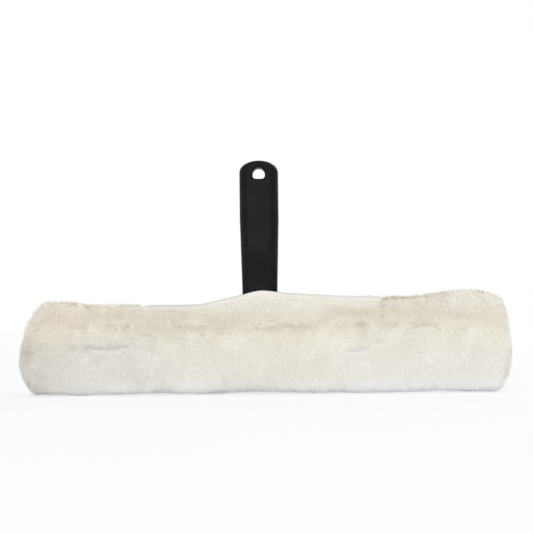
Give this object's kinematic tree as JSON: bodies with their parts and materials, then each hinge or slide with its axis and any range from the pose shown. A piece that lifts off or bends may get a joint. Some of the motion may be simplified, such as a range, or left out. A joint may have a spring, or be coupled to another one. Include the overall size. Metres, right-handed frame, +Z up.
{
  "type": "window strip washer",
  "caption": "Hand-held T-bar window washer with a hollow moulded handle, a hang hole and a pile fabric sleeve that is slit along the top for the handle.",
  "frame": {"origin": "on the sleeve's flat underside, straight below the handle's axis", "axes": "+Z up along the handle to its hang hole, +X along the sleeve to the right seen from the front, -Y out of the front face"},
  "size_m": [0.3552, 0.0458, 0.1673],
  "materials": {
    "black_plastic": "satin black moulding with rounded edges",
    "bar_metal": "bright drawn",
    "pile": "cream cut pile, matt and clumped",
    "hem": "off-white woven tape",
    "hook": "off-white nylon hooks",
    "loop": "off-white nylon loops"
  },
  "bodies": {
    "t_bar_and_sleeve": {"handle": "black_plastic", "crossbar": "bar_metal", "bar_plug_left": "black_plastic", "bar_plug_right": "black_plastic", "rivet_left": "bar_metal", "rivet_right": "bar_metal", "sleeve_tube": "pile", "sleeve_end_left": "pile", "sleeve_end_right": "pile"},
    "front_flap": {"front_lip": "pile", "front_hem": "hem", "hook_tape_left": "hook", "hook_tape_right": "hook"},
    "rear_flap": {"rear_lip": "pile", "rear_hem": "hem", "loop_tape_left": "loop", "loop_tape_right": "loop"}
  },
  "joints": [
    {"name": "front_flap_peel", "type": "hinge", "parent": "t_bar_and_sleeve", "child": "front_flap", "pos_m": [0, -0.0066, 0.053], "axis": [1, 0, 0], "range_deg": [0, 45]},
    {"name": "rear_flap_peel", "type": "hinge", "parent": "t_bar_and_sleeve", "child": "rear_flap", "pos_m": [0, 0.0066, 0.053], "axis": [-1, 0, 0], "range_deg": [0, 45]}
  ]
}
